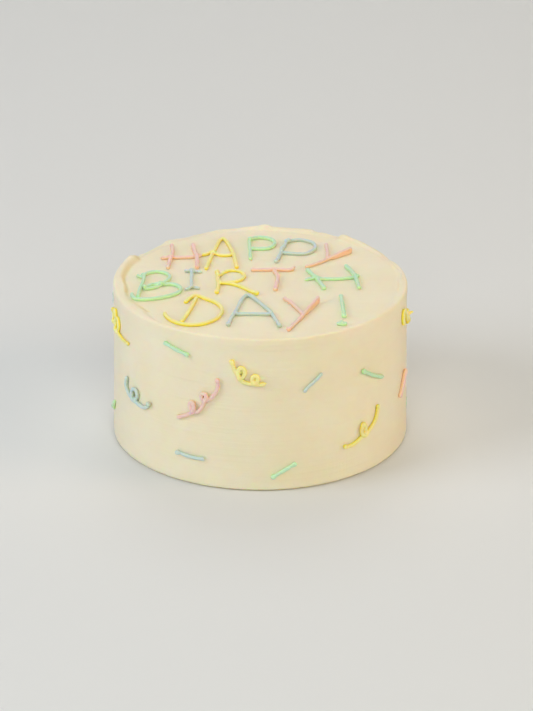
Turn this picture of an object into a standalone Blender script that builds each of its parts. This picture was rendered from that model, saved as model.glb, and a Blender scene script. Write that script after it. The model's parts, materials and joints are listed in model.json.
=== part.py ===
"""A round buttercream birthday cake with a piped greeting on top and piped dashes and curls round its side.

Metres, +Z up. The origin is the centre of the cake's flat base, and the front, where the greeting's
feet point, is -Y. Angles round the cake run from the front towards +X.
"""

import math

import bmesh
import bpy
from mathutils import Matrix, Vector

MM = 0.001

# The cake: an 8 inch round, filled tall, that draws in a little towards the top.
BASE_RADIUS = 100.0
TOP_RADIUS = 98.0
HEIGHT = 107.0
FOOT_INSET = 0.7
LIP_OVERHANG = 0.5
FLARE_FROM = 98.0
FLARE_TO = 103.0
COLUMNS = 120
FLAT_RADIUS = 84.0
ARC_RADIUS = 99.0

# Piping: a bead from a small round nozzle, flattened where it lies on the cake.
BEAD = 3.0
BEAD_HEIGHT = 2.9
GAP = 0.35
MOST_TURN = math.radians(17)
MOST_STEP = 16.0

# The scraper's ragged rim: angle in degrees, crest above the top in mm, width of the swiped lip in mm.
RIM = (
    (-178, 0.4, 6.5),
    (-165, 0.3, 6.5),
    (-155, 0.0, 6.5),
    (-148, -1.2, 7.0),
    (-139, 0.2, 7.5),
    (-130, -3.4, 8.0),
    (-123, -0.8, 9.0),
    (-117, 2.0, 9.5),
    (-104, 1.4, 9.5),
    (-90, 1.3, 8.5),
    (-75, 0.9, 7.5),
    (-60, 0.5, 5.0),
    (-45, 0.4, 3.0),
    (0, 0.4, 2.6),
    (45, 0.4, 3.0),
    (75, 0.3, 5.0),
    (100, 0.2, 6.5),
    (130, 0.3, 7.0),
    (144, 1.6, 7.0),
    (155, 0.1, 7.0),
    (159, 1.2, 7.0),
    (168, 0.8, 7.0),
    (174, 1.0, 7.0),
    (178, 3.0, 7.0),
)

COLOURS = {
    "buttercream": (0.80, 0.70, 0.47),
    "icing_pink": (0.83, 0.45, 0.33),
    "icing_yellow": (0.90, 0.66, 0.09),
    "icing_green": (0.45, 0.72, 0.46),
    "icing_blue": (0.53, 0.68, 0.65),
}

# Each letter is drawn in single strokes: (x, y) points in mm on the top, joined by smooth curves.
LETTERS = {
    "letter_h_1": ("pink", [
        [(-61, 61), (-60, 49), (-61, 37), (-62.5, 19)],
        [(-46.5, 62), (-45, 50), (-43, 37), (-42.5, 19)],
        [(-68, 36), (-60, 37), (-50, 37.5), (-41.3, 39.5)],
    ]),
    "letter_a_1": ("yellow", [
        [(-36.5, 18), (-34, 36), (-29.5, 61), (-26.5, 71.5), (-23.5, 63)],
        [(-26.5, 71.5), (-21.5, 56), (-18, 38), (-16, 20)],
        [(-39.8, 41.5), (-34, 45), (-28, 42.5), (-19, 41.5)],
    ]),
    "letter_p_1": ("green", [
        [(-7.5, 72), (-7, 52), (-6.5, 35)],
        [(-8, 67), (-5, 73.5), (1, 75.3), (8, 71.5), (10, 63), (5.5, 55), (-6, 54)],
    ]),
    "letter_p_2": ("blue", [
        [(18.5, 69), (17.5, 60), (16, 50)],
        [(15.3, 57), (14, 46), (10.5, 29.5)],
        [(18.5, 63), (22, 69.5), (29, 70.8), (36.5, 65), (37.3, 54), (30, 45.3), (15.5, 46.5)],
    ]),
    "letter_y_1": ("pink", [
        [(45.3, 62.5), (46, 52), (46, 36)],
        [(63, 54), (55.3, 44), (47.3, 35), (39.3, 27.5), (31.3, 21.8)],
    ]),
    "letter_b": ("green", [
        [(-83.5, 8), (-77.5, 4)],
        [(-79, 7), (-78, -8), (-81.5, -31)],
        [(-79, 4), (-75, 11), (-67, 12.8), (-61, 4), (-66, -7.5), (-77.5, -13.5)],
        [(-78, -13.5), (-69, -9.5), (-58, -10), (-52.8, -17.5), (-57, -28), (-68, -33.5), (-81, -34.8),
         (-84.7, -26.5)],
    ]),
    "letter_i": ("blue", [
        [(-50.5, 13.5), (-46, 14.5), (-40.5, 13.5)],
        [(-46, 15), (-46, 1), (-45.5, -16)],
        [(-49.5, -17.3), (-45.5, -15), (-41, -15.5)],
    ]),
    "letter_r": ("yellow", [
        [(-28.3, 14.5), (-27.8, -5), (-29, -24)],
        [(-28.5, 6), (-25, 12.5), (-18.5, 15.2), (-11.8, 10), (-13, -1), (-20, -6.5), (-27.5, -7.5)],
        [(-27.5, -6.8), (-18, -9), (-9.5, -15), (-2.5, -24.7)],
    ]),
    "letter_t": ("pink", [
        [(-6.5, 16), (8, 16), (19, 15.8), (23.5, 21.5)],
        [(8.5, 17), (11.3, 3), (10.5, -19.7)],
    ]),
    "letter_h_2": ("green", [
        [(31.8, 16.5), (36.5, 4), (43, -17)],
        [(31, 0), (36.5, 3.5), (43, 1.2), (55, 1.2), (66, 4.7)],
        [(58, 24.5), (63, 10), (65.6, -15.5)],
    ]),
    "letter_d": ("yellow", [
        [(-49.5, -39), (-42.5, -29), (-33, -38), (-25.5, -47), (-26, -61), (-34, -73.5), (-47, -76),
         (-58.5, -68.5), (-63, -56)],
        [(-41.5, -30), (-45, -50), (-51, -73)],
    ]),
    "letter_a_2": ("blue", [
        [(-21, -78), (-16, -54.5), (-10, -31), (-7.5, -27.5), (-4.5, -32)],
        [(-8, -28), (1, -46.5), (8, -65), (12.6, -80.3)],
        [(-17, -59.3), (-5, -59), (8, -59.8)],
    ]),
    "letter_y_2": ("pink", [
        [(15.5, -32.5), (21, -44.5), (28.5, -60)],
        [(38.4, -35), (33, -48.5), (25.5, -67), (17.6, -85.5)],
    ]),
    "mark_stroke": ("green", [
        [(53.2, -28.5), (53.9, -43), (54.5, -64)],
    ]),
    "mark_dot": ("green", [
        [(52.5, -71.6), (52.3, -77.6)],
    ]),
}
# Strokes that leave the nozzle fatter than the rest: letter, stroke number, width in mm.
FAT = {("letter_h_1", 1): 3.9, ("letter_y_1", 1): 3.6, ("mark_stroke", 0): 3.4, ("mark_dot", 0): 5.9}

# Straight and slightly bowed dashes: colour, then start, middle and end as (arc from the front, height).
DASHES = {
    "dash_01": ("green", (-67.2, 96.5), (-58, 94.2), (-48, 92)),
    "dash_02": ("blue", (-58, 21.5), (-47, 20.3), (-37, 20.5)),
    "dash_03": ("green", (7, 10.2), (15, 15), (23.5, 19.8)),
    "dash_04": ("blue", (28, 69.3), (35, 75), (41, 80.7)),
    "dash_05": ("green", (72.5, 74.5), (84, 67.7), (95, 63)),
    "dash_06": ("pink", (117, 38.5), (123.3, 46), (129.5, 55)),
    "dash_07": ("green", (169.8, 15.4), (170.2, 10.8), (170.8, 6.2)),
    "dash_08": ("green", (-130.5, 31), (-133, 26), (-135.3, 20.5)),
    "dash_09": ("blue", (-169.5, 83.2), (-168.6, 88.8), (-168, 94.2)),
}

# Dashes round the back, spaced as at the front: colour, arc, height, length, tilt in degrees, bow in mm.
BACK_DASHES = {
    "dash_10": ("pink", 183, 76, 19, -34, 1.0),
    "dash_11": ("blue", 196, 34, 20, 12, -1.2),
    "dash_12": ("green", 222, 92, 18, 24, 1.0),
    "dash_13": ("pink", 252, 24, 19, -22, 1.2),
    "dash_14": ("blue", 268, 80, 17, 58, 0.8),
    "dash_15": ("green", 296, 50, 20, -8, -1.0),
    "dash_16": ("yellow", 318, 88, 18, -30, 1.2),
    "dash_17": ("blue", 350, 18, 19, 16, 1.0),
    "dash_18": ("pink", 372, 66, 18, -52, 1.0),
    "dash_19": ("green", 408, 90, 20, 6, 1.2),
    "dash_20": ("yellow", 424, 22, 18, -38, -0.8),
}

# Streamers: colour, the trailing strand's points, then each curl as (arc, height, half width, half height).
STREAMERS = {
    "streamer_01": (
        "yellow",
        [(-19, 93.5), (-16.5, 85), (-12, 78.7), (-3, 76.5), (4, 77.3)],
        [(-12.3, 84.6, 2.7, 4.0), (-3.3, 80.6, 2.3, 2.8)],
    ),
    "streamer_02": (
        "pink",
        [(-27.3, 78.5), (-28.7, 71), (-33.5, 64), (-37.3, 60), (-39.5, 55), (-43.5, 51.5), (-57, 45.7)],
        [(-36.9, 64.6, 2.5, 2.3), (-44.7, 56, 2.5, 3.5)],
    ),
    "streamer_03": (
        "blue",
        [(-105, 57.3), (-107.3, 51.5), (-102.5, 47.3), (-94, 45), (-85.5, 45.3), (-80.3, 50.3)],
        [(-96, 50.3, 3.2, 3.6)],
    ),
    "streamer_04": (
        "yellow",
        [(57.3, 25.7), (65, 24.7), (75, 29), (84, 34.5), (87.3, 46)],
        [(73.1, 32.6, 2.0, 4.2)],
    ),
    "streamer_05": (
        "yellow",
        [(-104, 83), (-121.5, 84), (-130.5, 87), (-135.2, 91), (-135.5, 97)],
        [(-131, 93, 2.7, 3.6), (-124, 89.2, 2.9, 4.2)],
    ),
    "streamer_06": (
        "yellow",
        [(126.8, 88), (124.4, 95), (127, 99.7), (132.5, 97.5), (137, 90), (141.8, 82.7)],
        [(138.8, 91.3, 2.6, 3.6)],
    ),
    "streamer_07": (
        "yellow",
        [(207, 62), (212, 55), (222, 52.5), (236, 56)],
        [(218.5, 56.6, 2.7, 3.8)],
    ),
    "streamer_08": (
        "pink",
        [(278, 20), (288, 15.5), (297, 17), (306, 25)],
        [(291, 19.4, 2.6, 3.6)],
    ),
    "streamer_09": (
        "blue",
        [(332, 62), (336, 54), (345, 49.5), (358, 50.5)],
        [(341.5, 55.6, 2.6, 3.6), (350, 53.2, 2.3, 3.0)],
    ),
    "streamer_10": (
        "green",
        [(390, 54), (398, 48), (408, 47.5), (418, 53)],
        [(403, 51.6, 2.6, 3.7)],
    ),
}

# One ring of the bead: across as a share of the half width, up as a share of the height.
SECTION = ((-0.62, 0.0), (0.62, 0.0), (1.0, 0.42), (0.6, 0.9), (-0.6, 0.9), (-1.0, 0.42))
# The bead's rounded end: distance from its tip and size, as shares of the half width.
END = ((0.0, 0.42), (0.45, 0.85))


def rim_at(angle):
    """Crest height and lip width at an angle in radians, eased between the RIM entries."""
    here = (math.degrees(angle) + 178) % 360 - 178
    closed = RIM + ((RIM[0][0] + 360,) + RIM[0][1:],)
    for (a0, crest0, wide0), (a1, crest1, wide1) in zip(closed, closed[1:]):
        if a0 <= here <= a1:
            t = (here - a0) / (a1 - a0)
            t = t * t * (3 - 2 * t)
            return crest0 + (crest1 - crest0) * t, wide0 + (wide1 - wide0) * t
    return RIM[0][1:]


def side_radius(z):
    return BASE_RADIUS + (TOP_RADIUS - BASE_RADIUS) * z / HEIGHT


def wall_radius(z):
    """The side with the slight flare under its rim."""
    flare = min(max((z - FLARE_FROM) / (FLARE_TO - FLARE_FROM), 0.0), 1.0)
    return side_radius(z) + (TOP_RADIUS + LIP_OVERHANG - side_radius(FLARE_TO)) * flare


def top_height(x, y):
    """Height of the cake under a point of the top, the swiped lip included."""
    crest, wide = rim_at(math.atan2(x, -y))
    inward = TOP_RADIUS - math.hypot(x, y)
    rise = min(max(1 - inward / wide, 0.0), 1.0)
    return HEIGHT + max(crest, 0.0) * min(1.0, 1.6 * rise)


def on_top(x, y, up):
    return Vector((x, y, top_height(x, y) + GAP + up))


def on_side(arc, z, up):
    angle = arc / ARC_RADIUS
    r = wall_radius(z) + GAP + up
    return Vector((r * math.sin(angle), -r * math.cos(angle), z))


def smooth_path(points, fine=12):
    """A Catmull-Rom curve through the points, as closely spaced (u, v) pairs."""
    pts = [Vector(p) for p in points]
    pts = [2 * pts[0] - pts[1]] + pts + [2 * pts[-1] - pts[-2]]
    path = []
    for a, b, c, d in zip(pts, pts[1:], pts[2:], pts[3:]):
        for i in range(fine):
            t = i / fine
            path.append(0.5 * (2 * b + (c - a) * t + (2 * a - 5 * b + 4 * c - d) * t * t
                               + (3 * b - a - 3 * c + d) * t ** 3))
    return path + [pts[-2]]


def at_length(path, s):
    """Point and unit direction a length s along the path."""
    for a, b in zip(path, path[1:]):
        step = (b - a).length
        if s <= step or b is path[-1]:
            return a + (b - a) * (s / step), (b - a) / step
        s -= step


def stations(path, ends):
    """Lengths at which the bead gets a ring: closer together where the path bends."""
    total = sum((b - a).length for a, b in zip(path, path[1:]))
    found, last, s = [ends], at_length(path, ends)[1], ends
    while s < total - ends:
        s = min(s + 0.5, total - ends)
        heading = at_length(path, s)[1]
        turned = abs(heading.angle_signed(last))
        if turned > MOST_TURN or s - found[-1] > MOST_STEP:
            found.append(s)
            last = heading
    if total - ends - found[-1] > 1.0:
        found.append(total - ends)
    return found, total


def add_ring(bm, place, centre, heading, half, height):
    side = Vector((-heading.y, heading.x))
    ring = []
    for across, up in SECTION:
        u, v = centre + side * (across * half)
        ring.append(bm.verts.new(place(u, v, up * height) * MM))
    return ring


def bridge(bm, rings, closed):
    n = len(SECTION)
    pairs = list(zip(rings, rings[1:]))
    if closed:
        pairs.append((rings[-1], rings[0]))
    for ring, following in pairs:
        for i in range(n):
            j = (i + 1) % n
            bm.faces.new((ring[i], ring[j], following[j], following[i]))
    if not closed:
        bm.faces.new(list(reversed(rings[0])))
        bm.faces.new(rings[-1])


def finish_mesh(bm, name, material):
    bmesh.ops.recalc_face_normals(bm, faces=bm.faces)
    mesh = bpy.data.meshes.new(name)
    bm.to_mesh(mesh)
    bm.free()
    if sum(face.area * face.normal.dot(face.center) for face in mesh.polygons) < 0:
        mesh.flip_normals()
    mesh.materials.append(material)
    obj = bpy.data.objects.new(name, mesh)
    bpy.context.scene.collection.objects.link(obj)
    return obj


def strand(name, points, place, width, material, lift=0.0):
    """A bead along an open path, with rounded ends."""
    path = smooth_path(points)
    half = width / 2
    height = BEAD_HEIGHT * (0.5 + 0.5 * width / BEAD) - lift
    rings_at, total = stations(path, half)
    plan = [(share * half, size) for share, size in END]
    plan += [(s, 1.0) for s in rings_at]
    plan += [(total - share * half, size) for share, size in reversed(END)]
    bm = bmesh.new()
    rings = []
    for s, size in plan:
        centre, heading = at_length(path, s)
        rings.append(add_ring(bm, place, centre, heading, half * size, height * (0.35 + 0.65 * size)))
    bridge(bm, rings, closed=False)
    return finish_mesh(bm, name, material)


def curl(name, arc, z, half_wide, half_tall, material):
    """A closed loop of bead beside the strand, as where the nozzle circled."""
    bm = bmesh.new()
    rings = []
    count = 12
    for i in range(count):
        t = 2 * math.pi * i / count
        centre = Vector((arc + half_wide * math.cos(t), z + half_tall * math.sin(t)))
        heading = Vector((-half_wide * math.sin(t), half_tall * math.cos(t))).normalized()
        rings.append(add_ring(bm, on_side, centre, heading, BEAD * 0.42, BEAD_HEIGHT * 1.12))
    bridge(bm, rings, closed=True)
    return finish_mesh(bm, name, material)


def joined(name, pieces, parent):
    """Melts the pieces into one body, as soft icing does, and moves its origin to its own middle."""
    first, others = pieces[0], pieces[1:]
    if others:
        helpers = bpy.data.collections.new(name + "_strokes")
        bpy.context.scene.collection.children.link(helpers)
        for other in others:
            helpers.objects.link(other)
        union = first.modifiers.new("union", "BOOLEAN")
        union.operation = "UNION"
        union.solver = "EXACT"
        union.operand_type = "COLLECTION"
        union.collection = helpers
        graph = bpy.context.evaluated_depsgraph_get()
        melted = bpy.data.meshes.new_from_object(first.evaluated_get(graph))
        first.modifiers.clear()
        first.data = melted
        for other in others:
            bpy.data.objects.remove(other)
        bpy.data.collections.remove(helpers)
    first.name = name
    first.data.name = name
    corners = [Vector(corner) for corner in first.bound_box]
    middle = sum(corners, Vector()) / 8
    first.data.transform(Matrix.Translation(-middle))
    first.location = middle
    first.parent = parent
    first.data.shade_smooth()
    first.data.set_sharp_from_angle(angle=math.radians(50))
    return first


def cake_body(material):
    """The whole cake as one turned solid, its rim uneven."""
    def column(angle):
        crest, wide = rim_at(angle)
        high = max(crest, 0.0)
        low = min(crest, 0.0)
        top = TOP_RADIUS
        # radius and height from the foot, up the side and over the lip to the flat top
        return (
            (BASE_RADIUS - FOOT_INSET, 0.0),
            (side_radius(1.2), 1.2),
            (side_radius(55), 55.0),
            (wall_radius(FLARE_FROM), FLARE_FROM + 0.3 * low),
            (wall_radius(FLARE_TO), FLARE_TO + 0.6 * low),
            (top + LIP_OVERHANG - 0.1, 105.8 + 0.5 * crest),
            (top - 0.9, HEIGHT + crest),
            (top - 0.45 * wide, HEIGHT + 0.85 * high + 0.75 * low),
            (top - 0.8 * wide, HEIGHT + 0.45 * high + 0.3 * low),
            (top - wide - 1.2, HEIGHT),
            (FLAT_RADIUS, HEIGHT),
        )

    bm = bmesh.new()
    columns = []
    for k in range(COLUMNS):
        angle = 2 * math.pi * k / COLUMNS - math.radians(2)
        columns.append([bm.verts.new(Vector((r * math.sin(angle), -r * math.cos(angle), z)) * MM)
                        for r, z in column(angle)])
    rows = len(columns[0])
    for k, here in enumerate(columns):
        following = columns[(k + 1) % COLUMNS]
        for i in range(rows - 1):
            bm.faces.new((here[i], following[i], following[i + 1], here[i + 1]))
    bm.faces.new([here[-1] for here in columns])
    bm.faces.new([here[0] for here in reversed(columns)])
    body = finish_mesh(bm, "cake", material)
    body.data.shade_smooth()
    body.data.set_sharp_from_angle(angle=math.radians(50))
    return body


def make_material(name, rgb, roughness=0.55):
    material = bpy.data.materials.new(name)
    material.use_nodes = True
    shader = material.node_tree.nodes["Principled BSDF"]
    shader.inputs["Base Color"].default_value = (*rgb, 1.0)
    shader.inputs["Roughness"].default_value = roughness
    shader.inputs["Metallic"].default_value = 0.0
    material.diffuse_color = (*rgb, 1.0)
    return material


def empty(name):
    holder = bpy.data.objects.new(name, None)
    bpy.context.scene.collection.objects.link(holder)
    return holder


def bowed(arc, z, length, tilt, bow):
    """Start, middle and end of a dash given by its middle."""
    along = Vector((math.cos(math.radians(tilt)), math.sin(math.radians(tilt)))) * length / 2
    middle = Vector((arc, z))
    over = Vector((-along.y, along.x)).normalized() * bow
    return middle - along, middle + over, middle + along


def main():
    for obj in list(bpy.data.objects):
        bpy.data.objects.remove(obj)
    materials = {name: make_material(name, rgb) for name, rgb in COLOURS.items()}
    cake_body(materials["buttercream"])

    greeting = empty("greeting")
    for name, (colour, strokes) in LETTERS.items():
        icing = materials["icing_" + colour]
        pieces = []
        for number, points in enumerate(strokes):
            width = FAT.get((name, number), BEAD)
            pieces.append(strand(f"{name}_{number}", points, on_top, width, icing, lift=0.12 * number))
        joined(name, pieces, greeting)

    round_side = empty("round_side")
    for name, (colour, *points) in DASHES.items():
        piece = strand(name, points, on_side, BEAD, materials["icing_" + colour])
        joined(name, [piece], round_side)
    for name, (colour, *shape) in BACK_DASHES.items():
        piece = strand(name, bowed(*shape), on_side, BEAD, materials["icing_" + colour])
        joined(name, [piece], round_side)
    for name, (colour, points, curls) in STREAMERS.items():
        icing = materials["icing_" + colour]
        pieces = [strand(name + "_tail", points, on_side, BEAD * 0.95, icing)]
        for number, place in enumerate(curls):
            pieces.append(curl(f"{name}_{number}", *place, icing))
        joined(name, pieces, round_side)


main()
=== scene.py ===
# %% [markdown]
# # A birthday cake in piped buttercream
# The cake is a tall round, coated in vanilla buttercream with a scraper on a turntable and written on
# with a piping bag. Everything on it is the same soft stuff, so the whole lesson is about how it moves:
# dragged flat by steel, pulled up into a ragged rim, and laid down as a round bead. The imported model
# gives each piece its place. We load it first and keep the cake's box, from which the body takes its size.

# %% Load the frame
import json
import math

import bpy
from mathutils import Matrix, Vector, noise
from mathutils.geometry import intersect_point_line

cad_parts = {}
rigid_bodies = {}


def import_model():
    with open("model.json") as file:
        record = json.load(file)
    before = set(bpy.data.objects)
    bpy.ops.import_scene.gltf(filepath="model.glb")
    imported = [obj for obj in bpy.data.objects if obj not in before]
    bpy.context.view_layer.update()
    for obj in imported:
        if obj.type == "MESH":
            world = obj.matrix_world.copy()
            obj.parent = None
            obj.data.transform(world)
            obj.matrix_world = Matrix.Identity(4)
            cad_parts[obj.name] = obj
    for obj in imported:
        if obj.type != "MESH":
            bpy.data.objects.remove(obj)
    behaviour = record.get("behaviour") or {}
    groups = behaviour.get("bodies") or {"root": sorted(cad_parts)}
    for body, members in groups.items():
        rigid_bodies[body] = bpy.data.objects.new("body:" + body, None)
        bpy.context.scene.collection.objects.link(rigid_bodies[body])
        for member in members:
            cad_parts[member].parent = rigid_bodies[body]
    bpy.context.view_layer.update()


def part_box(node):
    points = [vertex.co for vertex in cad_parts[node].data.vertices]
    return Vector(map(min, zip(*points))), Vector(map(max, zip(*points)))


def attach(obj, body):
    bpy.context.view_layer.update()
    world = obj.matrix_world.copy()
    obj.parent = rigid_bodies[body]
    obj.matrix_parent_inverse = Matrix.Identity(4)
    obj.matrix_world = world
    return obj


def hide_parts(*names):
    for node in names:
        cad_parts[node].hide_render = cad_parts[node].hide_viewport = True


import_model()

MM = 0.001
cake_low, cake_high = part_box("cake")
print("cake box in mm:", [round((b - a) / MM, 1) for a, b in zip(cake_low, cake_high)])

# %% [markdown]
# ## The camera
# The picture was taken from about two metres with a long lens, looking down by 24 degrees. A long lens
# keeps the cake's two sides nearly upright. The camera aims at a point halfway up the cake's middle,
# and a small shift puts that point where the photograph has it.

# %% Camera
PICTURE_TALL = 711
LOOK_DOWN = math.radians(24.03)
DISTANCE = 1.9
AIM = Vector((0.0, 0.0, 55 * MM))
FOCAL_PIXELS = 2808
SENSOR = 36
AIM_LEFT_PIXELS, AIM_UP_PIXELS = 6.3, 3.4

lens_data = bpy.data.cameras.new("camera")
camera = bpy.data.objects.new("camera", lens_data)
bpy.context.scene.collection.objects.link(camera)
camera.location = AIM + DISTANCE * Vector((0, -math.cos(LOOK_DOWN), math.sin(LOOK_DOWN)))
camera.rotation_euler = (math.pi / 2 - LOOK_DOWN, 0, 0)
lens_data.sensor_width = SENSOR
lens_data.lens = SENSOR * FOCAL_PIXELS / PICTURE_TALL
lens_data.shift_x = AIM_LEFT_PIXELS / PICTURE_TALL
lens_data.shift_y = -AIM_UP_PIXELS / PICTURE_TALL
lens_data.clip_end = 50
bpy.context.scene.camera = camera
print("lens in mm:", round(lens_data.lens, 1))

# %% [markdown]
# ## Colour and nodes
# Colours are read from a picture as sRGB hex values, but Blender adds up light in linear values, so one
# function turns them. A second function adds a node, sets its sockets and links, and returns it, which
# keeps each material below to a few lines.

# %% Helpers for materials
def linear(hex_colour):
    parts = [int(hex_colour[i:i + 2], 16) / 255 for i in (1, 3, 5)]
    return (*[p / 12.92 if p <= 0.04045 else ((p + 0.055) / 1.055) ** 2.4 for p in parts], 1.0)


def add_node(tree, kind, inputs=None, **settings):
    node = tree.nodes.new(kind)
    for name, value in settings.items():
        setattr(node, name, value)
    for name, value in (inputs or {}).items():
        if isinstance(value, bpy.types.NodeSocket):
            tree.links.new(value, node.inputs[name])
        else:
            node.inputs[name].default_value = value
    return node


def new_material(name):
    material = bpy.data.materials.new(name)
    material.use_nodes = True
    tree = material.node_tree
    tree.nodes.clear()
    shader = add_node(tree, "ShaderNodeBsdfPrincipled")
    out = add_node(tree, "ShaderNodeOutputMaterial", {"Surface": shader.outputs["BSDF"]})
    out.location = (300, 0)
    return material, tree, shader


# %% [markdown]
# ## Floor and light
# The cake stood in a white set with soft light all round it, so its shadow is faint. The side lamps are
# large, the left one a touch cool and the right one warm, and a wide one fills the front. Two weak lamps
# share the light on the top: one hangs overhead, and one stands behind the cake to draw the rim out. One
# smooth sheet makes the floor and the back wall: a plane, its far edge extruded up, and that fold beveled.

# %% Floor
FLOOR_PALE = "#e2e2e0"
FLOOR_FRONT, FLOOR_BACK, FLOOR_WIDE = 2.5, 2.2, 7
WALL_HIGH = 3.0
SWEEP_RADIUS = 0.9

bpy.ops.object.select_all(action="DESELECT")
bpy.ops.mesh.primitive_plane_add(size=1)
floor = bpy.context.object
floor.name = "floor"
floor.scale = (FLOOR_WIDE, FLOOR_FRONT + FLOOR_BACK, 1)
floor.location = (0, (FLOOR_BACK - FLOOR_FRONT) / 2, 0)
bpy.ops.object.transform_apply(location=True, rotation=False, scale=True)
bpy.ops.object.mode_set(mode="EDIT")
bpy.ops.mesh.select_all(action="DESELECT")
bpy.ops.object.mode_set(mode="OBJECT")
for edge in floor.data.edges:
    ends = [floor.data.vertices[i].co.y for i in edge.vertices]
    edge.select = min(ends) > FLOOR_BACK - 0.01
for vertex in floor.data.vertices:
    vertex.select = vertex.co.y > FLOOR_BACK - 0.01
bpy.ops.object.mode_set(mode="EDIT")
bpy.ops.mesh.extrude_region_move(TRANSFORM_OT_translate={"value": (0, 0, WALL_HIGH)})
bpy.ops.object.mode_set(mode="OBJECT")
sweep = floor.modifiers.new("sweep", "BEVEL")
sweep.width = SWEEP_RADIUS
sweep.segments = 24
sweep.limit_method = "ANGLE"
bpy.ops.object.modifier_apply(modifier="sweep")
floor.data.shade_smooth()

# Matt emulsion paint, rolled on: it scatters light evenly and shows no highlight.
paint, tree, shader = new_material("white_painted_sweep")
shader.inputs["Base Color"].default_value = linear(FLOOR_PALE)
shader.inputs["Roughness"].default_value = 0.7
shader.inputs["Specular IOR Level"].default_value = 0.2
floor.data.materials.append(paint)

# %% Light
# Name, place, point aimed at, width in metres, watts and colour.
LAMPS = (
    ("left_softbox", (-2.0, -0.7, 1.3), AIM, 1.5, 27.6, "#edf3ff"),
    ("right_softbox", (2.0, -0.6, 1.0), AIM, 1.3, 17.6, "#ffe6c6"),
    ("front_fill", (0.1, -2.3, 1.6), AIM, 1.8, 30.0, "#f8fffa"),
    ("overhead", (0, 0.45, 2.3), (0, 0.45, 0), 1.6, 7.0, "#fff8f4"),
    ("back_top", (0, 1.3, 1.7), (0, 0.5, 0), 1.4, 8.0, "#fdfffd"),
)
ROOM_PALE, ROOM_GLOW = "#f4f4f4", 0.126

for name, place, aim, wide, watts, colour in LAMPS:
    lamp_data = bpy.data.lights.new(name, "AREA")
    lamp_data.shape = "DISK"
    lamp_data.size = wide
    lamp_data.energy = watts
    lamp_data.color = linear(colour)[:3]
    lamp = bpy.data.objects.new(name, lamp_data)
    bpy.context.scene.collection.objects.link(lamp)
    lamp.location = place
    lamp.rotation_euler = (Vector(aim) - Vector(place)).to_track_quat("-Z", "Y").to_euler()

world = bpy.data.worlds.new("studio")
bpy.context.scene.world = world
world.use_nodes = True
room = world.node_tree.nodes["Background"]
room.inputs["Color"].default_value = linear(ROOM_PALE)
room.inputs["Strength"].default_value = ROOM_GLOW
# Standard keeps the pastel colours as pale as they are mixed.
bpy.context.scene.view_settings.view_transform = "Standard"
print("lamps:", len(LAMPS), "with", sum(lamp[4] for lamp in LAMPS), "watts")

# %% [markdown]
# ## The form of the cake
# A few functions hold the whole form, so that the body and everything piped on it agree. The side is
# a slightly drawn-in cylinder with a small flare at its rim. The rim is where two passes of the scraper
# meet: a lip is pushed up there, wide and folded at the left, thin at the front, and torn off in two
# steps at the back. The top and side also carry the low waves and streaks that a hand leaves.

# %% Form of the body
BASE_RADIUS = (cake_high[0] - cake_low[0]) / 2 / MM
HEIGHT = 107.0
TOP_RADIUS = BASE_RADIUS - 2.0
LIP_OVERHANG = 0.5
FLARE_FROM, FLARE_TO = 98.0, 103.0
ARC_RADIUS = 99.0
LIP_REACH = 80.0
# How far the lip rolls over at the back, and the degrees from which and over which that comes in.
ROLL, ROLL_FROM, ROLL_OVER = 0.4, 95, 30
# Depth in mm of the slow waves and of the fine lines in the side, and how tall each is.
WAVE, WAVE_TALL = 0.28, 46
LINE, LINE_TALL = 0.05, 2.6
# Depth in mm of the swipes and of the broad dips in the top, and of the groove inside a steep lip.
SWIPE, DIP, GROOVE = 0.10, 0.12, 0.5
FAR_OFF = 99.0
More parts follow.
